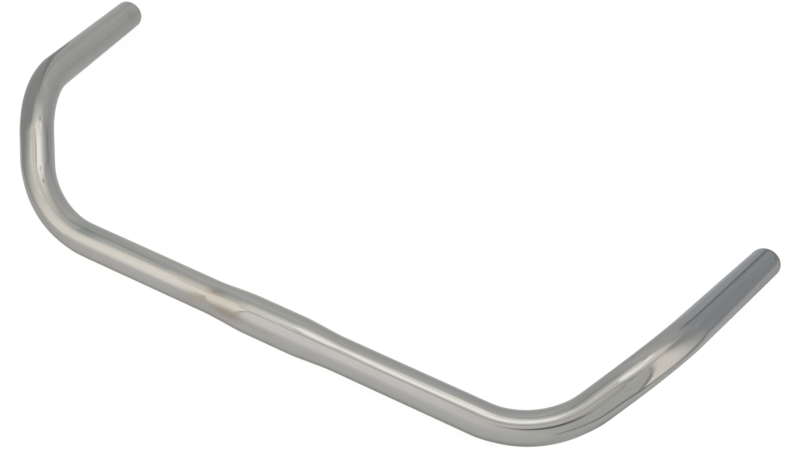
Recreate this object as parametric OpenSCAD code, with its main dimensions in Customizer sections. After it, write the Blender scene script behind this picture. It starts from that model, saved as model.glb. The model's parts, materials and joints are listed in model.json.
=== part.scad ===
// Swept-back bicycle handlebar, bent from one steel tube.
// The bar lies on its belly: the underside of the middle and the lower lip of
// each open end all touch one level plane.
// The origin is the centre of the clamp bulge, +X runs along the middle to the
// right end, the two ends sweep back along +Y, and +Z is up.

/* [Tube] */
// Outside diameter of the tube at the bends and the grips
tube_d = 22.2; // [21.4:0.2:23.2]
// Thickness of the tube's wall
wall = 1.6; // [1.2:0.1:2.2]
// Radius of the rounded lips at the open ends
lip_r = 0.5; // [0.3:0.1:0.5]

/* [Clamp bulge] */
// Outside diameter of the bulge that the stem grips
clamp_d = 25.4; // [25.0:0.2:26.2]
// Length of the bulge that has its full diameter
clamp_land = 30; // [24:1:40]
// Slope of the swaged taper, in degrees from the tube's axis
taper_angle = 4; // [3:0.5:6]
// Radius that eases the taper into the land and into the tube
taper_ease_r = 120; // [60:10:160]

/* [Bends] */
// Length of the straight middle, between its two bends
middle_len = 278; // [240:1:320]
// Bending radius, measured to the tube's axis
bend_r = 70; // [55:1:80]
// First bend on each side, which turns the tube back and up
first_bend = 60; // [45:1:70]
// Straight length between the two bends of one side
link_len = 17; // [10:1:30]
// Turn of the tube about its own axis before the second bend
bend_roll = 85.5; // [70:0.5:95]
// Second bend on each side, which levels the tube and brings it back
second_bend = 52; // [40:0.5:60]
// Straight length that carries the grip
grip_len = 140; // [110:1:170]

/* [Hidden] */

$fn = 96;
CHROME = [0.66, 0.66, 0.67];

tube_r = tube_d / 2;
clamp_r = clamp_d / 2;

// Points along each easing arc of the swaged taper
EASE_STEPS = 8;

// The easing arc spans ease_run beside each corner of the taper, and a corner
// lies where the taper's slope would meet the straight line it eases into
ease_run = taper_ease_r * tan(taper_angle / 2);
taper_run = (clamp_r - tube_r) / tan(taper_angle);
inner_corner_x = clamp_land / 2 + ease_run;
outer_corner_x = inner_corner_x + taper_run;

// Bending stretches the wall, so each of its faces draws in by this much along a
// bend, and a bend's ends run into the thicker wall of the straights by the seat
BEND_THINNING = 0.05;
BEND_SEAT = 0.5;
seat_angle = BEND_SEAT / bend_r * 180 / PI;

// Angles turned through along one easing arc
EASE = [for (i = [0:EASE_STEPS]) taper_angle * i / EASE_STEPS];

// The outer outline of one half of the bulge, from its land to the plain tube,
// moved inwards by depth to give the bore
function taper_outline(depth) = concat(
    [for (a = EASE) [
        clamp_land / 2 + taper_ease_r * sin(a),
        clamp_r - depth - taper_ease_r * (1 - cos(a))]],
    [for (a = EASE) [
        outer_corner_x + ease_run - taper_ease_r * sin(taper_angle - a),
        tube_r - depth + taper_ease_r * (1 - cos(taper_angle - a))]]);

function mirrored(points) = [for (i = [len(points) - 1:-1:0]) [-points[i][0], points[i][1]]];
function backwards(points) = [for (i = [len(points) - 1:-1:0]) points[i]];

// A whole side of the middle's wall, from its left end to its right end
function middle_outline(depth) = concat(
    [[-middle_len / 2, tube_r - depth]],
    mirrored(taper_outline(depth)),
    taper_outline(depth),
    [[middle_len / 2, tube_r - depth]]);

// Turning steps of a vector [x, y, z]
function turn_x(v, a) = [v[0], v[1] * cos(a) - v[2] * sin(a), v[1] * sin(a) + v[2] * cos(a)];
function turn_z(v, a) = [v[0] * cos(a) - v[1] * sin(a), v[0] * sin(a) + v[1] * cos(a), v[2]];

// Where a point of the next length of tube goes across a bend, a turn or a straight
function past_bend(v, a) = turn_z(v - [0, bend_r, 0], a) + [0, bend_r, 0];
function past_straight(v, run) = v + [run, 0, 0];

// A point that is given in the grip's own frame, carried back to the middle's frame
function from_grip(v) =
    past_straight(
        past_bend(
            past_straight(
                turn_x(past_bend(v, second_bend), -bend_roll),
                link_len),
            first_bend),
        middle_len / 2);

// The centre of an open end and the direction it faces, before the bar is laid down
mouth = from_grip([grip_len, 0, 0]);
facing = mouth - from_grip([grip_len - 1, 0, 0]);

// The height of the lowest point of an open end's lip once the bar has turned by a
function lip_height(a) =
    let (m = turn_x(mouth, a), d = turn_x(facing, a))
    m[2] - lip_r * d[2] - (tube_r - lip_r) * sqrt(1 - d[2] * d[2]) - lip_r;

// The turn about the middle's axis that puts both lips level with the bulge's underside,
// found by halving the span between low and high
function resting_turn(low, high, halvings) =
    halvings == 0 ? (low + high) / 2 :
    let (half_way = (low + high) / 2)
    lip_height(half_way) < -clamp_r
        ? resting_turn(half_way, high, halvings - 1)
        : resting_turn(low, half_way, halvings - 1);

TURN_LOW = 0;
TURN_HIGH = 80;
HALVINGS = 40;
lay_down = resting_turn(TURN_LOW, TURN_HIGH, HALVINGS);

// The cut end of the wall, with both lips rounded
module rounded_wall(len) {
    translate([tube_r - wall, 0]) square([wall, len - lip_r]);
    translate([tube_r - wall + lip_r, 0]) square([wall - 2 * lip_r, len]);
    for (r = [tube_r - wall + lip_r, tube_r - lip_r])
        translate([r, len - lip_r]) circle(r = lip_r);
}

// The middle of the bar, with the clamp bulge swaged into it and its bore following
module middle() {
    rotate([0, 90, 0])
        rotate_extrude()
            polygon([for (p = concat(middle_outline(0), backwards(middle_outline(wall))))
                [p[1], p[0]]]);
}

// A plain straight length of tube that starts at the origin, and what follows it
module straight(len) {
    rotate([0, 90, 0])
        difference() {
            cylinder(r = tube_r, h = len);
            translate([0, 0, -len]) cylinder(r = tube_r - wall, h = 3 * len);
        }
    translate([len, 0, 0]) children();
}

// A bend towards +Y, and what follows it
module bend(angle) {
    translate([0, bend_r, 0]) {
        rotate([0, 0, -90])
            rotate_extrude(angle = angle + 2 * seat_angle, start = -seat_angle)
                translate([bend_r, 0])
                    difference() {
                        circle(r = tube_r - BEND_THINNING);
                        circle(r = tube_r - wall + BEND_THINNING);
                    }
        rotate([0, 0, angle]) translate([0, -bend_r, 0]) children();
    }
}

// The straight length that carries a grip, open at its end
module grip_length() {
    rotate([0, 90, 0]) rotate_extrude() rounded_wall(grip_len);
}

// One side of the bar, in the order in which it is bent
module side() {
    translate([middle_len / 2, 0, 0])
        bend(first_bend)
        straight(link_len)
        rotate([-bend_roll, 0, 0])
        bend(second_bend)
        grip_length();
}

// The whole bar is one tube
module handlebar() {
    color(CHROME)
        rotate([lay_down, 0, 0]) {
            middle();
            side();
            mirror([1, 0, 0]) side();
        }
}

handlebar();
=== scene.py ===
import json
import logging
import math
from collections.abc import Callable, Sequence
from dataclasses import dataclass, field
from enum import Enum

import bpy
from mathutils import Matrix, Vector
from mathutils.kdtree import KDTree

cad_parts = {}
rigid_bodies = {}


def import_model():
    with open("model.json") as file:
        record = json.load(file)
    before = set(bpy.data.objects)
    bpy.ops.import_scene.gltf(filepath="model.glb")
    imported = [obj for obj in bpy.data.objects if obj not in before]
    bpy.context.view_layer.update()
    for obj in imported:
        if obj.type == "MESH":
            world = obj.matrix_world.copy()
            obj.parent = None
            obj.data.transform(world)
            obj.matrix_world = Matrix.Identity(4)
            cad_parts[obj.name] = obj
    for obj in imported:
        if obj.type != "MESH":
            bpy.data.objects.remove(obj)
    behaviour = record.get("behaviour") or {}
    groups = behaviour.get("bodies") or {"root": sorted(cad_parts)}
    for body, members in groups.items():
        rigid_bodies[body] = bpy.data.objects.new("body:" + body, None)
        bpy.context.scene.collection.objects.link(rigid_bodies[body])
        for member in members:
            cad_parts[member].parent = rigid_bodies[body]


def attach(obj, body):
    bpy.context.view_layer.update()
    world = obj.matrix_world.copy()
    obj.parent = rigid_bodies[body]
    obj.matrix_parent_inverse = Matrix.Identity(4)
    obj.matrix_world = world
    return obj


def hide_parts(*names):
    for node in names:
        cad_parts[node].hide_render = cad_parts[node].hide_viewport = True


LOG = logging.getLogger("handlebar_scene")

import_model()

Rgb = tuple[float, float, float]
Rgba = tuple[float, float, float, float]

MM = 0.001
SENSOR_WIDTH = 36.0

# Two unit directions face the same way when their dot product is above this
SAME_WAY = 0.5

# What a noise is on average
NOISE_MIDDLE = 0.5

# Places of the Mix node's colour sockets, whose names its other sockets share
MIX_AMOUNT = 0
MIX_FIRST = 6
MIX_SECOND = 7
MIX_RESULT = 2


class Axis(Enum):
    """Directions that the bar's first ring is set by."""

    X = Vector((1.0, 0.0, 0.0))
    Y = Vector((0.0, 1.0, 0.0))


def opaque(colour: Rgb) -> Rgba:
    """Return a colour with full opacity."""
    return (*colour, 1.0)


def grey(level: float) -> Rgb:
    """Return the grey of one level."""
    return (level, level, level)


def turn_about(axis: "Vector | str", angle: float) -> Matrix:
    """Return the rotation by an angle about an axis."""
    return Matrix.Rotation(angle, 3, axis)


def deselect() -> None:
    """Clear the selection."""
    for other in bpy.context.view_layer.objects:
        other.select_set(False)


def only(obj: bpy.types.Object) -> None:
    """Select one object alone and make it the active one.

    Args:
        obj: The object.
    """
    deselect()
    obj.select_set(True)
    bpy.context.view_layer.objects.active = obj


def settle(name: str) -> bpy.types.Object:
    """Name the object that was added last, and apply its place, turn and size.

    Args:
        name: Its name.

    Returns:
        The object.
    """
    made = bpy.context.active_object
    made.name = name
    bpy.ops.object.transform_apply(location=True, rotation=True, scale=True)
    return made


def apply_modifier(obj: bpy.types.Object, kind: str, settings: dict[str, object]) -> None:
    """Add a modifier to the active object and apply it.

    Args:
        obj: The object, in object mode.
        kind: The modifier's type.
        settings: Values of the modifier's properties.
    """
    modifier = obj.modifiers.new(kind.lower(), kind)
    for name, value in settings.items():
        setattr(modifier, name, value)
    bpy.ops.object.modifier_apply(modifier=modifier.name)


def pick_faces(obj: bpy.types.Object, wanted: Callable[[bpy.types.MeshPolygon], bool]) -> None:
    """Enter edit mode with only some faces selected.

    Args:
        obj: The active mesh object, in object mode.
        wanted: Says of a face whether it is selected.
    """
    bpy.ops.object.mode_set(mode="EDIT")
    bpy.ops.mesh.select_mode(type="FACE")
    bpy.ops.mesh.select_all(action="DESELECT")
    bpy.ops.object.mode_set(mode="OBJECT")
    for face in obj.data.polygons:
        face.select = wanted(face)
    bpy.ops.object.mode_set(mode="EDIT")


class Socket:
    """An output socket with the arithmetic of the Math node."""

    def __init__(self, shader: "Shader", socket: bpy.types.NodeSocket) -> None:
        """Hold one output.

        Args:
            shader: The shader that the output belongs to.
            socket: The output itself.
        """
        self.shader = shader
        self.socket = socket

    def __add__(self, other: "Socket | float") -> "Socket":
        """Return self + other."""
        return self.shader.math("ADD", self, other)

    def __radd__(self, other: float) -> "Socket":
        """Return other + self."""
        return self.shader.math("ADD", other, self)

    def __sub__(self, other: "Socket | float") -> "Socket":
        """Return self - other."""
        return self.shader.math("SUBTRACT", self, other)

    def __rsub__(self, other: float) -> "Socket":
        """Return other - self."""
        return self.shader.math("SUBTRACT", other, self)

    def __mul__(self, other: "Socket | float") -> "Socket":
        """Return self * other."""
        return self.shader.math("MULTIPLY", self, other)

    def __rmul__(self, other: float) -> "Socket":
        """Return other * self."""
        return self.shader.math("MULTIPLY", other, self)

    def __truediv__(self, other: "Socket | float") -> "Socket":
        """Return self / other."""
        return self.shader.math("DIVIDE", self, other)

    def __rtruediv__(self, other: float) -> "Socket":
        """Return other / self."""
        return self.shader.math("DIVIDE", other, self)

    def __neg__(self) -> "Socket":
        """Return the negative of self."""
        return self.shader.math("MULTIPLY", self, -1.0)

    def __abs__(self) -> "Socket":
        """Return the size of self without its sign."""
        return self.shader.math("ABSOLUTE", self)

    def at_least(self, other: "Socket | float") -> "Socket":
        """Return the larger of self and other."""
        return self.shader.math("MAXIMUM", self, other)


class Shader:
    """A node tree under construction, of a material or of the world."""

    def __init__(self, owner: bpy.types.ID) -> None:
        """Start an empty tree.

        Args:
            owner: The material or world whose tree is built.
        """
        owner.use_nodes = True
        self.tree = owner.node_tree
        self.tree.nodes.clear()

    def node(
        self,
        kind: str,
        settings: dict[str, object] | None = None,
        inputs: dict[str | int, object] | None = None,
    ) -> bpy.types.Node:
        """Make one node.

        Args:
            kind: The node's type name.
            settings: Values of the node's own properties.
            inputs: What goes into its inputs, by name or place.

        Returns:
            The new node.
        """
        made = self.tree.nodes.new(kind)
        for name, value in (settings or {}).items():
            setattr(made, name, value)
        for name, value in (inputs or {}).items():
            self.feed(made.inputs[name], value)
        return made

    def feed(self, target: bpy.types.NodeSocket, value: object) -> None:
        """Link an output to an input, or set the input's own value.

        Args:
            target: The input.
            value: A Socket, or a plain value.
        """
        if isinstance(value, Socket):
            self.tree.links.new(value.socket, target)
        else:
            target.default_value = value

    def out(self, made: bpy.types.Node, name: str | int = 0) -> Socket:
        """Return one of a node's outputs as a Socket."""
        return Socket(self, made.outputs[name])

    def math(
        self, operation: str, first: "Socket | float", second: "Socket | float" = 0.0
    ) -> Socket:
        """Return a Math node's result."""
        inputs = {0: first, 1: second}
        return self.out(self.node("ShaderNodeMath", {"operation": operation}, inputs))

    def smooth(self, value: Socket, low: float, high: float) -> Socket:
        """Ease a value from 0 at low to 1 at high.

        Args:
            value: What is eased.
            low: Where the result is 0.
            high: Where the result is 1.

        Returns:
            The eased value.
        """
        rising = high > low
        inputs = {"Value": value, "From Min": min(low, high), "From Max": max(low, high)}
        settings = {"interpolation_type": "SMOOTHSTEP"}
        ramp = self.out(self.node("ShaderNodeMapRange", settings, inputs))
        return ramp if rising else 1.0 - ramp

    def blend(
        self, amount: "Socket | float", first: "Socket | Rgb", second: "Socket | Rgb"
    ) -> Socket:
        """Mix two colours.

        Args:
            amount: 0 gives the first and 1 the second.
            first: A colour or a colour Socket.
            second: A colour or a colour Socket.

        Returns:
            The mixed colour.
        """
        mix = self.node("ShaderNodeMix", {"data_type": "RGBA"}, {MIX_AMOUNT: amount})
        for place, colour in ((MIX_FIRST, first), (MIX_SECOND, second)):
            self.feed(mix.inputs[place], colour if isinstance(colour, Socket) else opaque(colour))
        return self.out(mix, MIX_RESULT)

    def vector(self, operation: str, first: object, second: object) -> Socket:
        """Return a Vector Math node's first result."""
        inputs = {0: first, 1: second}
        return self.out(self.node("ShaderNodeVectorMath", {"operation": operation}, inputs))

    def scaled(self, value: "Socket | Rgb", amount: "Socket | float") -> Socket:
        """Return a vector or a colour times one number."""
        inputs = {0: value, "Scale": amount}
        return self.out(self.node("ShaderNodeVectorMath", {"operation": "SCALE"}, inputs))

    def length(self, value: Socket) -> Socket:
        """Return how long a vector is."""
        made = self.node("ShaderNodeVectorMath", {"operation": "LENGTH"}, {0: value})
        return self.out(made, "Value")

    def part(self, value: Socket, axis: str) -> Socket:
        """Return the X, Y or Z of a vector."""
        return self.out(self.node("ShaderNodeSeparateXYZ", None, {0: value}), axis)

    def place(self) -> Socket:
        """Return the point's place in the object's own coordinates, in millimetres."""
        return self.scaled(self.out(self.node("ShaderNodeTexCoord"), "Object"), 1.0 / MM)

    def attribute(self, name: str, output: str) -> Socket:
        """Return what the mesh says of the point under a name."""
        return self.out(self.node("ShaderNodeAttribute", {"attribute_name": name}), output)

    def noise(self, place: Socket, scale: float, detail: float, roughness: float) -> Socket:
        """Return a noise of about 0.5 on average.

        Args:
            place: Where it is read.
            scale: Its features per unit of place.
            detail: How many finer layers it has.
            roughness: How strong the finer layers are.

        Returns:
            Its value, from 0 to 1.
        """
        inputs = {"Vector": place, "Scale": scale, "Detail": detail, "Roughness": roughness}
        return self.out(self.node("ShaderNodeTexNoise", None, inputs))

    def surface(self, last: bpy.types.Node, output: str = "ShaderNodeOutputMaterial") -> None:
        """Lead the last node to the tree's output."""
        end = self.node(output)
        self.feed(end.inputs["Surface"], self.out(last))


@dataclass(frozen=True)
class Mark:
    """A soft mark on the straightened tube: where it lies, its size and how strong it is.

    Places along the bar and sizes are in millimetres. The angle is in degrees round the
    tube, from the side that faces back. Full and gone are distances in half sizes.
    """

    along: float
    angle: float
    length: float
    width: float
    strength: float = 1.0
    full_to: float = 0.1
    gone_from: float = 1.6

    def shown(self, shader: Shader, unbent: Socket, radius: float, ragged: Socket) -> Socket:
        """Return how much of the mark shows at a point.

        Args:
            shader: The finish's shader.
            unbent: The place on the straightened tube, in millimetres.
            radius: The tube's radius, in millimetres.
            ragged: What roughens the mark's edge, about 0 on average.

        Returns:
            0 away from the mark, up to its strength inside it.
        """
        turn = math.radians(self.angle)
        middle = (self.along, radius * math.cos(turn), radius * math.sin(turn))
        size = (self.length / 2, self.width / 2, self.width / 2)
        away = shader.vector("DIVIDE", shader.vector("SUBTRACT", unbent, middle), size)
        reach = shader.length(away) + ragged
        return shader.smooth(reach, self.gone_from, self.full_to) * self.strength


@dataclass(frozen=True)
class Grain:
    """A noise of the finish, with its features per millimetre and its finer layers.

    The place that it is read at is first multiplied by its stretch. Where it has a low and
    a high, it is eased from 0 to 1 between them.
    """

    scale: float
    detail: float
    roughness: float
    low: float | None = None
    high: float | None = None
    stretch: tuple[float, float, float] | None = None

    def shown(self, shader: Shader, place: Socket) -> Socket:
        """Return the noise at a place.

        Args:
            shader: The finish's shader.
            place: The place, in millimetres.

        Returns:
            Its value, from 0 to 1.
        """
        if self.stretch is not None:
            place = shader.vector("MULTIPLY", place, self.stretch)
        value = shader.noise(place, self.scale, self.detail, self.roughness)
        if self.low is None or self.high is None:
            return value
        return shader.smooth(value, self.low, self.high)


@dataclass(frozen=True)
class Pits:
    """Small pits, scattered as the middles of a few picked cells.

    There are so many cells to a millimetre, and a pit's edge and bottom are shares of one.
    """

    cells: float = 0.2
    none_below: float = 0.66
    all_above: float = 0.7
    edge: float = 0.075
    bottom: float = 0.03

    def shown(self, shader: Shader, place: Socket) -> Socket:
        """Return where the pits lie.

        Args:
            shader: The finish's shader.
            place: The place, in millimetres.

        Returns:
            1 inside a pit and 0 beside it.
        """
        cells = shader.node(
            "ShaderNodeTexVoronoi", {"feature": "F1"}, {"Vector": place, "Scale": self.cells}
        )
        picked = shader.smooth(shader.out(cells, "Color"), self.none_below, self.all_above)
        return shader.smooth(shader.out(cells, "Distance"), self.edge, self.bottom) * picked


@dataclass(frozen=True)
class Wear:
    """What shows at a point of the finish, each share from 0 to 1."""

    # How far the point lies out of the middle, which is painted lighter and keeps less tarnish
    worn_beyond_lightened_middle: Socket
    tarnish: Socket
    # Stained patches, with the warm reflections painted beside the bulge
    stain_and_painted_reflection: Socket
    # Pits and nicks, with the dark dots painted as reflections in the bends' highlights
    pit: Socket
    hairline: Socket
    polish: Socket
    wave: Socket
    bore: Socket
    rust: Socket


@dataclass(frozen=True)
class ChromePlate:
    """Old bright chrome: polished plate with hairlines, tarnish, pits and a little rust, with
    painted reflections in its highlights and a middle painted lighter.
    """

    radius: float = 11.1
    colour: Rgb = (0.45, 0.45, 0.45)
    # Painted light: the plate's colour at the middle, a little lighter than the rest
    painted_lighter_colour: Rgb = (0.472, 0.472, 0.472)
    dull_colour: Rgb = (0.375, 0.365, 0.35)
    stain_and_reflection_colour: Rgb = (0.30, 0.25, 0.185)
    pit_and_reflection_colour: Rgb = (0.09, 0.075, 0.06)
    bare_colour: Rgb = (0.34, 0.32, 0.30)
    rust_colour: Rgb = (0.24, 0.15, 0.09)
    # Painted light: the middle is painted a little lighter up to one place along the bar,
    # where it also keeps less tarnish, and it shows full wear from the next
    clean_and_lightened_to: float = 110.0
    worn_from: float = 190.0
    clean_tarnish: float = 0.3
    # How far each kind of wear and each painted reflection takes the plate's colour to its own
    tarnish_tint: float = 0.4
    hairline_tint: float = 0.3
    polish_tint: float = 0.3
    stain_and_reflection_tint: float = 0.8
    pit_and_reflection_tint: float = 0.85
    # The roughness of the plate and of the bare bore, and what each kind of wear and
    # painted reflection adds
    gloss: float = 0.045
    bare_roughness: float = 0.42
    tarnish_haze: float = 0.16
    hairline_haze: float = 0.05
    stain_and_reflection_haze: float = 0.22
    pit_and_reflection_haze: float = 0.4
    rust_haze: float = 0.2
    # The height of the relief, and how far each kind of wear and painted reflection rises in it
    relief_height: float = 0.1 * MM
    hairline_rise: float = -0.02
    polish_rise: float = 0.005
    pit_and_reflection_rise: float = -0.12
    rust_rise: float = 0.3
    tarnish: Grain = Grain(0.045, 6.0, 0.62, 0.42, 0.78)
    rust: Grain = Grain(0.11, 5.0, 0.65, 0.45, 0.62)
    wave: Grain = Grain(0.028, 2.0, 0.5)
    # The fine scratches along the tube, and the rings that the polishing wheel left round it
    hairline: Grain = Grain(1.0, 3.0, 0.7, 0.6, 0.78, (0.035, 1.7, 1.7))
    polish: Grain = Grain(1.0, 3.0, 0.65, stretch=(1.5, 0.07, 0.07))
    # What makes the edges of the marks ragged, and how much
    rag: Grain = Grain(0.55, 4.0, 0.6)
    stain_and_reflection_rag: float = 0.6
    speck_rag: float = 0.5
    pits: Pits = Pits()
    # Painted reflections beside the bulge, as warm brown marks and a peach tint over the
    # highlight;
    # then a warm stained patch near the left mouth, and dark marks at the right mouth's lip
    stains_and_painted_reflections: tuple[Mark, ...] = (
        Mark(-34.0, 88.0, 30.0, 14.0, 0.22),
        Mark(-40.0, 70.0, 15.0, 5.0, 0.7),
        Mark(-41.0, 70.0, 7.0, 3.5, 1.0),
        Mark(-28.0, 113.0, 30.0, 7.5, 0.75),
        Mark(-24.0, 117.0, 14.0, 4.5, 1.0),
        Mark(-6.0, 119.0, 26.0, 5.0, 0.3),
        Mark(-50.0, 124.0, 44.0, 12.0, 0.22),
        Mark(-414.0, 25.0, 16.0, 11.0, 0.35),
        Mark(-428.0, 60.0, 7.0, 16.0, 0.3),
        Mark(431.5, 78.0, 5.0, 16.0, 0.95),
        Mark(431.0, 112.0, 4.0, 9.0, 0.8),
    )
    # The nicks and the single pits; the first three are painted reflections, dark dots in the
    # lamp's highlight in the bends
    nicks_and_painted_reflections: tuple[Mark, ...] = (
        Mark(-237.3, 51.0, 4.2, 1.0, 0.7),
        Mark(-192.0, 57.0, 4.2, 1.0, 0.7),
        Mark(248.3, 64.0, 4.0, 1.0, 0.7),
        Mark(380.8, 62.0, 1.8, 1.6, 0.8),
        Mark(378.8, 102.0, 1.6, 1.4, 0.7),
        Mark(368.8, 102.0, 1.4, 1.2, 0.6),
        Mark(426.5, 101.0, 2.6, 1.6, 0.8),
        Mark(-19.5, 113.0, 2.4, 1.2, 0.5),
    )

    def marks(self, shader: Shader, unbent: Socket, marks: Sequence[Mark], rag: float) -> Socket:
        """Return how much of any of several marks shows at a point.

        Args:
            shader: The finish's shader.
            unbent: The place on the straightened tube, in millimetres.
            marks: The marks.
            rag: How ragged their edges are.

        Returns:
            The strongest mark's share.
        """
        ragged = (self.rag.shown(shader, unbent) - NOISE_MIDDLE) * rag
        shown: Socket | None = None
        for mark in marks:
            one = mark.shown(shader, unbent, self.radius, ragged)
            shown = one if shown is None else shown.at_least(one)
        assert shown is not None
        return shown

    def wear(self, shader: Shader) -> Wear:
        """Read off what shows at a point.

        Args:
            shader: The finish's shader.

        Returns:
            The share of each kind of wear there.
        """
        place = shader.place()
        unbent = shader.scaled(shader.attribute("unbent", "Vector"), 1.0 / MM)
        # 0 at the middle, which is painted lighter and keeps less tarnish, and 1 where wear is
        # full
        worn_beyond_lightened_middle = shader.smooth(abs(shader.part(unbent, "X")), self.clean_and_lightened_to, self.worn_from)
        kept = worn_beyond_lightened_middle * (1.0 - self.clean_tarnish) + self.clean_tarnish
        # The nicks, with the dark dots painted as reflections in the bends' highlights
        nicks_and_painted_reflections = self.marks(shader, unbent, self.nicks_and_painted_reflections, self.speck_rag)
        return Wear(
            worn_beyond_lightened_middle=worn_beyond_lightened_middle,
            tarnish=self.tarnish.shown(shader, place) * kept,
            stain_and_painted_reflection=self.marks(shader, unbent, self.stains_and_painted_reflections, self.stain_and_reflection_rag),
            pit=nicks_and_painted_reflections.at_least(self.pits.shown(shader, place)),
            hairline=self.hairline.shown(shader, unbent),
            polish=self.polish.shown(shader, unbent),
            wave=self.wave.shown(shader, place),
            bore=shader.attribute("bore", "Fac"),
            rust=self.rust.shown(shader, place),
        )

    def tint(self, shader: Shader, wear: Wear) -> Socket:
        """Return the metal's colour.

        Args:
            shader: The finish's shader.
            wear: What shows at the point.

        Returns:
            The colour there.
        """
        rings = (wear.polish - NOISE_MIDDLE) * self.polish_tint
        lines = wear.hairline * self.hairline_tint + rings
        # Painted light: the middle of the bar is painted a little lighter than the rest
        colour = shader.blend(wear.worn_beyond_lightened_middle, self.painted_lighter_colour, self.colour)
        colour = shader.blend(wear.tarnish * self.tarnish_tint, colour, self.dull_colour)
        colour = shader.blend(lines, colour, self.dull_colour)
        # Painted reflection: the warm brown marks and peach tint beside the bulge; the mouths'
        # marks come in here too
        colour = shader.blend(wear.stain_and_painted_reflection * self.stain_and_reflection_tint, colour, self.stain_and_reflection_colour)
        # Painted reflection: the dark dots in the bends' highlights come in with the pits
        colour = shader.blend(wear.pit * self.pit_and_reflection_tint, colour, self.pit_and_reflection_colour)
        bare = shader.blend(wear.rust, self.bare_colour, self.rust_colour)
        return shader.blend(wear.bore, colour, bare)

    def roughness(self, wear: Wear) -> Socket:
        """Return the metal's roughness.

        Args:
            wear: What shows at the point.

        Returns:
            The roughness there.
        """
        plate = wear.tarnish * self.tarnish_haze + wear.hairline * self.hairline_haze
        plate = plate + wear.stain_and_painted_reflection * self.stain_and_reflection_haze + wear.pit * self.pit_and_reflection_haze + self.gloss
        bare = self.bare_roughness + wear.rust * self.rust_haze
        return wear.bore * bare + (1.0 - wear.bore) * plate

    def relief(self, shader: Shader, wear: Wear) -> Socket:
        """Return the surface's direction under its fine relief.

        Args:
            shader: The finish's shader.
            wear: What shows at the point.

        Returns:
            The normal there.
        """
        height = wear.wave + wear.hairline * self.hairline_rise + wear.polish * self.polish_rise
        height = height + wear.pit * self.pit_and_reflection_rise + wear.bore * wear.rust * self.rust_rise
        inputs = {"Height": height, "Distance": self.relief_height}
        return shader.out(shader.node("ShaderNodeBump", None, inputs))

    def material(self) -> bpy.types.Material:
        """Make the finish.

        Returns:
            The finish as a material.
        """
        made = bpy.data.materials.new("chrome_plate")
        shader = Shader(made)
        wear = self.wear(shader)
        inputs = {
            "Metallic": 1.0,
            "Base Color": self.tint(shader, wear),
            "Roughness": self.roughness(wear),
            "Normal": self.relief(shader, wear),
        }
        shader.surface(shader.node("ShaderNodeBsdfPrincipled", None, inputs))
        return made


@dataclass(frozen=True)
class Ring:
    """One ring of the tube as it is drawn, with the frame that the tube carries along."""

    centre: Vector
    way: Vector
    side: Vector
    over: Vector
    radius: float
    along: float = 0.0
    pinch: Vector = field(default_factory=Vector)

    def forward(self, run: float, radius: float) -> "Ring":
        """Return the ring that lies a run further along, with its own radius."""
        centre = self.centre + self.way * run
        return Ring(centre, self.way, self.side, self.over, radius, self.along + run)

    def turned(self, turn: Matrix, pivot: Vector, run: float, pinch: Vector) -> "Ring":
        """Return the ring that a turn about a pivot brings this one to.

        Args:
            turn: The rotation.
            pivot: The point that it turns about.
            run: How far along the tube's axis it lies.
            pinch: The direction in which it is flattened, as long as its share.

        Returns:
            The turned ring.
        """
        centre = pivot + turn @ (self.centre - pivot)
        way, side, over = (turn @ v for v in (self.way, self.side, self.over))
        return Ring(centre, way, side, over, self.radius, self.along + run, pinch)

    def flattened(self, point: Vector) -> Vector:
        """Return where flattening the ring takes one of its points.

        Args:
            point: A point of the round ring.

        Returns:
            The point on the flattened ring.
        """
        if self.pinch.length == 0.0:
            return point
        away = (point - self.centre).dot(self.pinch.normalized())
        return point - self.pinch * away


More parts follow.
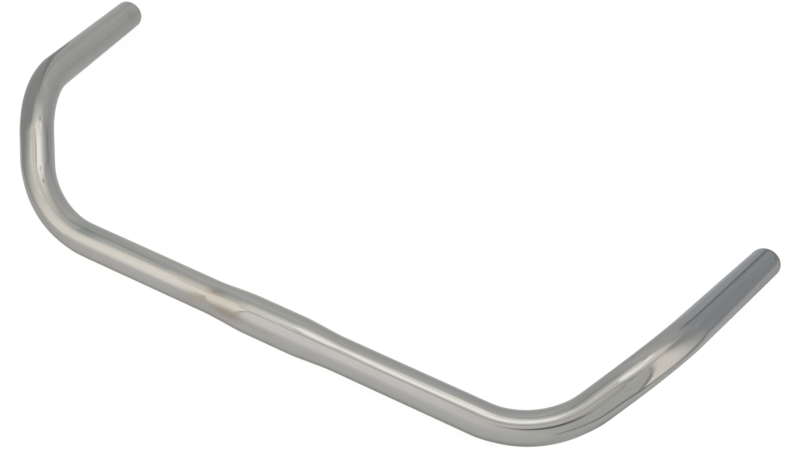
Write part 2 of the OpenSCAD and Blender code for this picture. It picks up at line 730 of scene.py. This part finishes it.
@dataclass
class BentTube:
    """The bar: one steel tube, swaged out at its middle and bent twice a side."""

    tube_r: float = 11.1 * MM
    wall: float = 1.6 * MM
    lip_r: float = 0.5 * MM
    clamp_r: float = 12.7 * MM
    clamp_land: float = 30.0 * MM
    taper_angle: float = math.radians(4.0)
    taper_ease_r: float = 120.0 * MM
    middle_len: float = 278.0 * MM
    bend_r: float = 70.0 * MM
    first_bend: float = math.radians(60.0)
    link_len: float = 17.0 * MM
    bend_roll: float = math.radians(85.5)
    second_bend: float = math.radians(52.0)
    grip_len: float = 140.0 * MM
    # The turn about the middle's axis that lays both mouths level with the bulge
    lay_down: float = math.radians(37.0590035)
    # The share of its width that a bend loses, and the run over which that sets in
    flattening: float = 0.035
    flattening_onset: float = 15.0 * MM
    around: int = 128
    ease_steps: int = 8
    bend_steps: int = 48
    middle_steps: int = 10
    link_steps: int = 4
    grip_steps: int = 20
    lip_segments: int = 5
    lip_angle: float = math.radians(60.0)
    weld: float = 0.01 * MM
    # A point deeper in the wall than this share of it belongs to the bore
    bore_share: float = 0.6
    finish: ChromePlate = field(default_factory=ChromePlate)
    rings: list[Ring] = field(default_factory=list)

    def start(self) -> bpy.types.Object:
        """Add a ring at the middle of the bulge.

        Returns:
            The tube's first ring, open in edit mode.
        """
        deselect()
        bpy.ops.mesh.primitive_circle_add(
            vertices=self.around,
            radius=self.clamp_r,
            location=(0.0, 0.0, 0.0),
            rotation=(0.0, math.pi / 2, 0.0),
        )
        tube = settle("bent_tube")
        bpy.ops.object.mode_set(mode="EDIT")
        bpy.ops.mesh.select_all(action="SELECT")
        way = Axis.X.value.copy()
        side = turn_about("X", self.lay_down) @ Axis.Y.value
        self.rings.append(Ring(Vector(), way, side, way.cross(side), self.clamp_r))
        return tube

    def draw(self, run: float, radius: float) -> None:
        """Draw the open ring out along the tube.

        Args:
            run: How far.
            radius: The radius that the next ring has.
        """
        now = self.rings[-1]
        after = now.forward(run, radius)
        bpy.ops.mesh.extrude_region_move(TRANSFORM_OT_translate={"value": now.way * run})
        if radius != now.radius:
            size = radius / now.radius
            bpy.ops.transform.resize(value=(size, size, size), center_override=after.centre)
        self.rings.append(after)

    def taper(self) -> list[tuple[float, float]]:
        """Outline the swaged taper.

        Returns:
            Places along the bar and the radii there.
        """
        ease_run = self.taper_ease_r * math.tan(self.taper_angle / 2)
        taper_run = (self.clamp_r - self.tube_r) / math.tan(self.taper_angle)
        outer_end = self.clamp_land / 2 + ease_run + taper_run + ease_run
        angles = [self.taper_angle * i / self.ease_steps for i in range(self.ease_steps + 1)]
        inner = [
            (
                self.clamp_land / 2 + self.taper_ease_r * math.sin(a),
                self.clamp_r - self.taper_ease_r * (1 - math.cos(a)),
            )
            for a in angles
        ]
        outer = [
            (
                outer_end - self.taper_ease_r * math.sin(self.taper_angle - a),
                self.tube_r + self.taper_ease_r * (1 - math.cos(self.taper_angle - a)),
            )
            for a in angles
        ]
        return inner + outer

    def swage(self) -> None:
        """Draw half of the bulge and its taper."""
        for along, radius in self.taper():
            self.draw(along - self.rings[-1].along, radius)

    def straight(self, length: float, steps: int) -> None:
        """Draw a plain straight length in equal steps."""
        for _ in range(steps):
            self.draw(length / steps, self.rings[-1].radius)

    def pinch_share(self, run: float, length: float) -> float:
        """Return how much a bend is flattened at a place along it.

        Args:
            run: How far along the bend.
            length: The bend's whole length.

        Returns:
            The share of its width that it loses.
        """
        near = min(run, length - run, self.flattening_onset) / self.flattening_onset
        return self.flattening * near * near * (3.0 - 2.0 * near)

    def bend(self, side: Vector, angle: float) -> None:
        """Spin the open ring about a bend's centre.

        Args:
            side: The direction from the tube to the bend's centre.
            angle: The angle of the bend.
        """
        arrived = self.rings[-1]
        pivot = arrived.centre + side * self.bend_r
        axis = arrived.way.cross(side).normalized()
        bpy.ops.mesh.spin(steps=self.bend_steps, angle=-angle, center=pivot, axis=axis)
        length = angle * self.bend_r
        for step in range(1, self.bend_steps + 1):
            part = step / self.bend_steps
            turn = turn_about(axis, angle * part)
            pinch = turn @ side * self.pinch_share(length * part, length)
            self.rings.append(arrived.turned(turn, pivot, length * part, pinch))

    def form_half(self) -> None:
        """Form the right half, from the middle of the bulge to its open mouth."""
        self.swage()
        self.straight(self.middle_len / 2 - self.rings[-1].along, self.middle_steps)
        self.bend(self.rings[-1].side, self.first_bend)
        self.straight(self.link_len, self.link_steps)
        link = self.rings[-1]
        self.bend(turn_about(link.way, -self.bend_roll) @ link.side, self.second_bend)
        self.straight(self.grip_len, self.grip_steps)

    def ring_finder(self) -> KDTree:
        """Gather the rings' centres.

        Returns:
            A search tree that gives the nearest ring's place in the list.
        """
        finder = KDTree(len(self.rings))
        for index, ring in enumerate(self.rings):
            finder.insert(ring.centre, index)
        finder.balance()
        return finder

    def flatten(self, tube: bpy.types.Object) -> None:
        """Draw the bends in a little across their plane, as bending does to a tube.

        Args:
            tube: The right half of the tube.
        """
        finder = self.ring_finder()
        for vertex in tube.data.vertices:
            ring = self.rings[finder.find(vertex.co)[1]]
            vertex.co = ring.flattened(vertex.co)

    def write_unbent(self, tube: bpy.types.Object) -> None:
        """Write each point's place on the straightened tube, and whether it is in the bore.

        Args:
            tube: The whole tube.
        """
        finder = self.ring_finder()
        depth = self.bore_share * self.wall
        places: list[float] = []
        inside: list[float] = []
        for vertex in tube.data.vertices:
            point = Vector((abs(vertex.co.x), vertex.co.y, vertex.co.z))
            ring = self.rings[finder.find(point)[1]]
            away = point - ring.centre
            along = math.copysign(ring.along + away.dot(ring.way), vertex.co.x)
            aside, above = away.dot(ring.side), away.dot(ring.over)
            places.extend((along, aside, above))
            inside.append(float(math.hypot(aside, above) < ring.radius - depth))
        unbent = tube.data.attributes.new("unbent", "FLOAT_VECTOR", "POINT")
        unbent.data.foreach_set("vector", places)
        bore = tube.data.attributes.new("bore", "FLOAT", "POINT")
        bore.data.foreach_set("value", inside)

    def join_halves(self, tube: bpy.types.Object) -> None:
        """Mirror the right half and weld the two at the middle.

        Args:
            tube: The right half of the tube, in object mode.
        """
        apply_modifier(tube, "MIRROR", {"merge_threshold": self.weld})
        bpy.ops.object.mode_set(mode="EDIT")
        bpy.ops.mesh.select_all(action="SELECT")
        bpy.ops.mesh.remove_doubles(threshold=self.weld)
        bpy.ops.mesh.normals_make_consistent(inside=False)
        bpy.ops.object.mode_set(mode="OBJECT")

    def thicken(self, tube: bpy.types.Object) -> None:
        """Give the tube its wall and round the lips of its open ends.

        Args:
            tube: The tube's outer skin, in object mode.
        """
        apply_modifier(tube, "SOLIDIFY", {"thickness": self.wall, "offset": -1.0})
        rounding = {
            "limit_method": "ANGLE",
            "angle_limit": self.lip_angle,
            "width": self.lip_r,
            "segments": self.lip_segments,
        }
        apply_modifier(tube, "BEVEL", rounding)

    def build(self) -> bpy.types.Object:
        """Model the bar.

        Returns:
            The finished piece.
        """
        tube = self.start()
        self.form_half()
        bpy.ops.object.mode_set(mode="OBJECT")
        only(tube)
        self.flatten(tube)
        self.join_halves(tube)
        self.thicken(tube)
        bpy.ops.object.shade_smooth()
        self.write_unbent(tube)
        tube.data.materials.clear()
        tube.data.materials.append(self.finish.material())
        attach(tube, "root")
        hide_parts("handlebar")
        return tube


@dataclass
class PhotoCamera:
    """The camera at the photograph's viewing angle."""

    place: Vector = field(default_factory=lambda: Vector((197.42, -357.80, 512.74)) * MM)
    forward: Vector = field(default_factory=lambda: Vector((-0.231743, 0.663202, -0.711654)))
    right: Vector = field(default_factory=lambda: Vector((0.89812, 0.42679, 0.10594)))
    lens: float = 46.678
    clip_start: float = 0.01

    def build(self) -> bpy.types.Object:
        """Place the camera and make it the scene's own.

        Returns:
            The camera.
        """
        data = bpy.data.cameras.new("photo_camera")
        data.lens = self.lens
        data.sensor_width = SENSOR_WIDTH
        data.clip_start = self.clip_start
        camera = bpy.data.objects.new("photo_camera", data)
        forward = self.forward.normalized()
        right = (self.right - forward * self.right.dot(forward)).normalized()
        up = right.cross(forward)
        turn = Matrix((right, up, -forward)).transposed()
        camera.matrix_world = Matrix.Translation(self.place) @ turn.to_4x4()
        bpy.context.scene.collection.objects.link(camera)
        bpy.context.scene.camera = camera
        return camera


@dataclass(frozen=True)
class Side:
    """The way that one side of the tent faces, and the two axes that span it."""

    normal: tuple[float, float, float]
    across: str
    up: str


class Wall(Enum):
    """The tent's sides, and the floor below it."""

    LEFT = Side((-1.0, 0.0, 0.0), "Y", "Z")
    RIGHT = Side((1.0, 0.0, 0.0), "Y", "Z")
    FRONT = Side((0.0, -1.0, 0.0), "X", "Z")
    BACK = Side((0.0, 1.0, 0.0), "X", "Z")
    TOP = Side((0.0, 0.0, 1.0), "X", "Y")
    FLOOR = Side((0.0, 0.0, -1.0), "X", "Y")

    def faces(self, normal: Vector) -> bool:
        """Return whether a face with this outward normal belongs to the wall."""
        return normal.dot(Vector(self.value.normal)) > SAME_WAY


@dataclass(frozen=True)
class Edge:
    """Where one side of a patch lies and how far it blurs, in millimetres."""

    at: float
    blur: float = 20.0


@dataclass(frozen=True)
class Patch:
    """A soft-edged rectangle of other brightness on one wall.

    A side that isn't given runs on to the wall's edge. The lean is how far the left and
    right sides move across for each millimetre up.
    """

    wall: Wall
    colour: Rgb
    left: Edge | None = None
    right: Edge | None = None
    low: Edge | None = None
    high: Edge | None = None
    lean: float = 0.0

    def amount(self, shader: Shader, across: Socket, up: Socket) -> Socket:
        """Return how much of the patch shows at a point.

        Args:
            shader: The wall's shader.
            across: The place along the wall's first axis, in millimetres.
            up: The place along its second axis, in millimetres.

        Returns:
            0 outside the patch and 1 inside it.
        """
        along = across - up * self.lean if self.lean else across
        sides = (
            (along, self.left, 1.0),
            (along, self.right, -1.0),
            (up, self.low, 1.0),
            (up, self.high, -1.0),
        )
        shown: Socket | None = None
        for place, edge, facing in sides:
            if edge is None:
                continue
            half = facing * edge.blur / 2
            side = shader.smooth(place, edge.at - half, edge.at + half)
            shown = side if shown is None else shown * side
        assert shown is not None
        return shown


@dataclass(frozen=True)
class Spot:
    """A soft-edged round or oval spot on one wall, in millimetres.

    Its blur is a share of its radius.
    """

    wall: Wall
    colour: Rgb
    centre: tuple[float, float]
    radius: tuple[float, float]
    blur: float = 1.0
    lean: float = 0.0

    def amount(self, shader: Shader, across: Socket, up: Socket) -> Socket:
        """Return how much of the spot shows at a point.

        Args:
            shader: The wall's shader.
            across: The place along the wall's first axis, in millimetres.
            up: The place along its second axis, in millimetres.

        Returns:
            0 outside the spot and 1 inside it.
        """
        rise = up - self.centre[1]
        aside = (across - self.centre[0] - rise * self.lean) / self.radius[0]
        above = rise / self.radius[1]
        away = shader.math("SQRT", aside * aside + above * above)
        return shader.smooth(away, 1.0 + self.blur / 2, 1.0 - self.blur / 2)


@dataclass(frozen=True)
class Cloth:
    """The plain brightness of one wall, and the shares by which it grows across and up."""

    colour: Rgb
    across: float = 0.0
    up: float = 0.0


@dataclass
class LightTent:
    """The white cloth tent that lights the bar and shows in its chrome.

    Its sizes are in millimetres. A cloth grows brighter by its shares over one span.
    """

    half_width: float = 350.0
    front: float = -280.0
    back: float = 450.0
    low: float = -12.7
    high: float = 620.0
    span: float = 400.0
    walls: dict[Wall, Cloth] = field(
        default_factory=lambda: {
            Wall.LEFT: Cloth((0.584, 0.604, 0.582), 0.005, 0.079),
            Wall.RIGHT: Cloth((0.736, 0.732, 0.683), 0.005, 0.053),
            Wall.FRONT: Cloth((0.791, 0.781, 0.729), 0.075, -0.237),
            Wall.BACK: Cloth((0.575, 0.585, 0.562), -0.166, 0.171),
            Wall.TOP: Cloth((0.621, 0.611, 0.556), -0.073, 0.088),
        }
    )
    # The lamp over the tent, with its glow through the cloth
    lamp: tuple[Patch | Spot, ...] = (
        Spot(Wall.TOP, (1.288, 1.264, 1.156), (49.0, 72.0), (314.0, 300.0), blur=1.56, lean=0.84),
        Spot(Wall.TOP, (1.7, 1.67, 1.57), (-3.0, 4.0), (146.0, 120.0), blur=1.16, lean=0.35),
        Patch(
            Wall.TOP, (1.683, 1.623, 1.494), left=Edge(35.0, 78.0), right=Edge(151.0, 81.0),
            low=Edge(40.0, 60.0), high=Edge(245.0, 59.0),
        ),
        Patch(Wall.TOP, (1.261, 1.192, 1.038), right=Edge(-164.0, 120.0), high=Edge(-140.0, 60.0)),
        Patch(
            Wall.TOP, (0.86, 0.83, 0.76), left=Edge(-175.0, 60.0), right=Edge(-75.0, 50.0),
            low=Edge(-138.0, 30.0), high=Edge(-78.0, 30.0),
        ),
        Patch(
            Wall.TOP, (0.86, 0.84, 0.79), left=Edge(-108.0, 24.0), right=Edge(-72.0, 24.0),
            low=Edge(45.0, 30.0), high=Edge(150.0, 30.0), lean=1.1,
        ),
        Patch(Wall.TOP, (0.724, 0.719, 0.639), low=Edge(413.0, 91.0)),
    )
    # The daylight on the front cloth, with the camera's lens looking in
    front_light: tuple[Patch | Spot, ...] = (
        Patch(Wall.FRONT, (1.147, 1.119, 1.065), right=Edge(144.0, 413.0), low=Edge(57.0, 221.0)),
        Patch(Wall.FRONT, (0.812, 0.804, 0.771), low=Edge(574.0, 132.0)),
        Patch(
            Wall.FRONT, (1.42, 1.336, 1.196), right=Edge(-147.0, 30.0), low=Edge(120.0, 223.0),
            lean=-0.13,
        ),
        Patch(
            Wall.FRONT, (0.82, 0.75, 0.64), left=Edge(-159.0, 12.0), right=Edge(-139.0, 14.0),
            lean=-0.13,
        ),
        Spot(Wall.FRONT, (0.2, 0.2, 0.2), (218.0, 292.0), (72.0, 52.0), blur=1.2),
    )
    # The dark card and the window beyond the left cloth
    left_light: tuple[Patch | Spot, ...] = (
        Patch(Wall.LEFT, (0.79, 0.79, 0.73), right=Edge(110.0, 110.0), low=Edge(425.0, 50.0)),
        Patch(
            Wall.LEFT, (0.464, 0.481, 0.466), right=Edge(205.0, 24.0), high=Edge(386.0, 88.0),
            lean=0.04,
        ),
        Patch(
            Wall.LEFT, (0.36, 0.37, 0.36), left=Edge(184.0, 26.0), right=Edge(222.0, 20.0),
            high=Edge(350.0, 120.0), lean=0.04,
        ),
        Patch(
            Wall.LEFT, (0.48, 0.485, 0.45), left=Edge(180.0, 30.0), right=Edge(230.0, 30.0),
            low=Edge(340.0, 80.0), high=Edge(570.0, 60.0), lean=0.03,
        ),
        Patch(Wall.LEFT, (1.36, 1.285, 1.155), right=Edge(-116.0, 205.0), low=Edge(10.0, 180.0)),
    )
    # The cool card and the window beyond the right cloth
    right_light: tuple[Patch | Spot, ...] = (
        Patch(Wall.RIGHT, (0.418, 0.449, 0.466), left=Edge(168.0, 139.0), high=Edge(393.0, 202.0)),
        Patch(
            Wall.RIGHT, (0.51, 0.52, 0.515), left=Edge(190.0, 60.0), low=Edge(125.0, 70.0),
            high=Edge(420.0, 150.0),
        ),
        Patch(
            Wall.RIGHT, (0.964, 0.906, 0.738), left=Edge(-60.0, 30.0), right=Edge(6.0, 60.0),
            low=Edge(270.0, 90.0), lean=0.36,
        ),
        Patch(
            Wall.RIGHT, (1.302, 1.221, 1.118), left=Edge(8.0, 8.0), right=Edge(112.0, 104.0),
            high=Edge(402.0, 200.0),
        ),
        Patch(
            Wall.RIGHT, (0.5, 0.48, 0.45), left=Edge(-9.0, 10.0), right=Edge(8.0, 6.0),
            high=Edge(360.0, 90.0),
        ),
    )
    # The seams, hems and folds where one cloth meets the next
    seams: tuple[Patch | Spot, ...] = (
        Patch(Wall.BACK, (0.5, 0.53, 0.565), left=Edge(150.0, 120.0), high=Edge(260.0, 160.0)),
        Patch(Wall.TOP, (0.74, 0.73, 0.7), high=Edge(-236.0, 50.0)),
        Patch(Wall.FRONT, (0.72, 0.71, 0.68), left=Edge(-190.0, 80.0), low=Edge(594.0, 34.0)),
        Patch(Wall.BACK, (0.7, 0.7, 0.64), low=Edge(585.0, 30.0)),
        Patch(Wall.RIGHT, (0.385, 0.41, 0.425), high=Edge(17.0, 13.0)),
        Patch(
            Wall.RIGHT, (0.62, 0.595, 0.55), left=Edge(22.0, 24.0), right=Edge(110.0, 50.0),
            high=Edge(17.0, 13.0),
        ),
        Patch(
            Wall.BACK, (0.45, 0.48, 0.505), left=Edge(252.0, 26.0), high=Edge(250.0, 120.0),
            lean=-0.35,
        ),
        Patch(
            Wall.BACK, (0.27, 0.3, 0.32), left=Edge(243.0, 22.0), right=Edge(282.0, 26.0),
            high=Edge(250.0, 80.0), lean=-0.35,
        ),
    )

    def patches(self) -> tuple[Patch | Spot, ...]:
        """Return all that shows on the cloths, in the order in which it is laid."""
        return self.lamp + self.front_light + self.left_light + self.right_light + self.seams

    def cloth(self, wall: Wall) -> bpy.types.Material:
        """Return the glowing cloth of one wall.

        Args:
            wall: The wall that it covers.

        Returns:
            Its material.
        """
        made = bpy.data.materials.new("tent_cloth_" + wall.name.lower())
        shader = Shader(made)
        place = shader.place()
        across = shader.part(place, wall.value.across)
        up = shader.part(place, wall.value.up)
        plain = self.walls[wall]
        level = across * (plain.across / self.span) + up * (plain.up / self.span) + 1.0
        glow = shader.scaled(plain.colour, level)
        for patch in self.patches():
            if patch.wall is wall:
                glow = shader.blend(patch.amount(shader, across, up), glow, patch.colour)
        shader.surface(shader.node("ShaderNodeEmission", None, {"Color": glow}))
        return made

    def build(self) -> bpy.types.Object:
        """Put the tent up round the bar.

        Returns:
            The tent, which the camera looks through.
        """
        deselect()
        bpy.ops.mesh.primitive_cube_add(
            size=1.0,
            location=(0.0, (self.front + self.back) / 2 * MM, (self.low + self.high) / 2 * MM),
            scale=(
                2 * self.half_width * MM,
                (self.back - self.front) * MM,
                (self.high - self.low) * MM,
            ),
        )
        tent = settle("light_tent")
        for slot, wall in enumerate(self.walls):
            tent.data.materials.append(self.cloth(wall))
            for face in tent.data.polygons:
                if wall.faces(face.normal):
                    face.material_index = slot
        pick_faces(tent, lambda face: Wall.FLOOR.faces(face.normal))
        bpy.ops.mesh.delete(type="FACE")
        bpy.ops.mesh.select_all(action="SELECT")
        bpy.ops.mesh.flip_normals()
        bpy.ops.object.mode_set(mode="OBJECT")
        tent.visible_camera = False
        tent.visible_shadow = False
        return tent


@dataclass
class Studio:
    """The white room and its floor, which the camera and the chrome see in different ways."""

    floor_z: float = -12.7 * MM
    reach: float = 6.0
    paint: float = 0.8
    seen_share: float = 0.8
    mirrored_share: float = 0.35
    white: float = 1.15
    # The floor as the chrome shows it, with painted shade: one colour at the front, and at the
    # back two darker others that change over places across it, in millimetres
    mirrored_front: Rgb = (1.02, 1.01, 0.99)
    mirrored_left: Rgb = (0.52, 0.55, 0.55)
    mirrored_right: Rgb = (0.33, 0.38, 0.495)
    front_y: float = -150.0
    back_y: float = 350.0
    cool_from: float = 0.0
    cool_to: float = 150.0
    warm_from: float = 235.0
    warm_to: float = 300.0
    # The dark of the floor close beside the bar, as the bar's lower edge shows it
    contact_shade: tuple[Patch, ...] = (
        Patch(
            Wall.FLOOR, (0.44, 0.44, 0.43), left=Edge(-197.0, 55.0), right=Edge(192.0, 40.0),
            low=Edge(-16.0, 12.0), high=Edge(8.0, 12.0),
        ),
        Patch(
            Wall.FLOOR, (0.28, 0.29, 0.3), left=Edge(205.0, 16.0), right=Edge(243.0, 30.0),
            low=Edge(10.0, 40.0), high=Edge(280.0), lean=0.25,
        ),
        Patch(
            Wall.FLOOR, (0.68, 0.67, 0.64), right=Edge(-195.0, 80.0), low=Edge(-80.0, 60.0),
            high=Edge(8.0, 24.0),
        ),
    )

    def world(self) -> None:
        """Give the world the white that the camera sees all round."""
        world = bpy.data.worlds.new("white_room")
        bpy.context.scene.world = world
        shader = Shader(world)
        white = {"Color": opaque(grey(1.0))}
        shader.surface(shader.node("ShaderNodeBackground", None, white), "ShaderNodeOutputWorld")

    def mirrored(self, shader: Shader) -> Socket:
        """Return the floor's brightness as the chrome mirrors it.

        Args:
            shader: The floor's shader.

        Returns:
            The colour at the point.
        """
        place = shader.place()
        across = shader.part(place, "X")
        back = shader.part(place, "Y")
        aside = shader.smooth(across, self.cool_from, self.cool_to)
        aside = aside * shader.smooth(across, self.warm_to, self.warm_from)
        behind = shader.blend(aside, self.mirrored_left, self.mirrored_right)
        # Painted shade: the floor darker behind the bar than in front of it
        depth = shader.smooth(back, self.front_y, self.back_y)
        shown = shader.blend(depth, self.mirrored_front, behind)
        for shade in self.contact_shade:
            shown = shader.blend(shade.amount(shader, across, back), shown, shade.colour)
        return shown

    def paper(self) -> bpy.types.Material:
        """Make the floor's paper, which keeps the bar's shadow.

        Returns:
            Its material.
        """
        made = bpy.data.materials.new("floor_white")
        shader = Shader(made)
        rays = shader.node("ShaderNodeLightPath")
        camera = shader.out(rays, "Is Camera Ray")
        glossy = shader.out(rays, "Is Glossy Ray")
        mirror = glossy.at_least(shader.out(rays, "Is Transmission Ray"))
        glow = shader.blend(camera, self.mirrored(shader), grey(self.white))
        paint = shader.node("ShaderNodeBsdfDiffuse", None, {"Color": opaque(grey(self.paint))})
        light = shader.node("ShaderNodeEmission", None, {"Color": glow})
        share = (camera * self.seen_share).at_least(mirror * self.mirrored_share)
        inputs = {0: share, 1: shader.out(paint), 2: shader.out(light)}
        shader.surface(shader.node("ShaderNodeMixShader", None, inputs))
        return made

    def floor(self) -> bpy.types.Object:
        """Lay the pale floor that the bar rests on.

        Returns:
            The floor.
        """
        deselect()
        bpy.ops.mesh.primitive_plane_add(size=self.reach, location=(0.0, 0.0, self.floor_z))
        floor = settle("floor")
        floor.data.materials.append(self.paper())
        return floor

    def build(self) -> None:
        """Set the stage and its light."""
        self.world()
        self.floor()
        bpy.context.scene.view_settings.view_transform = "Standard"


def main() -> None:
    """Build the scene, piece by piece."""
    logging.basicConfig(level=logging.INFO)
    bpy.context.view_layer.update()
    camera = PhotoCamera().build()
    LOG.info("built %s", camera.name)
    tube = BentTube().build()
    LOG.info("built %s with %d faces", tube.name, len(tube.data.polygons))
    Studio().build()
    LOG.info("built the studio")
    tent = LightTent().build()
    LOG.info("built %s", tent.name)


if __name__ == "__main__":
    main()
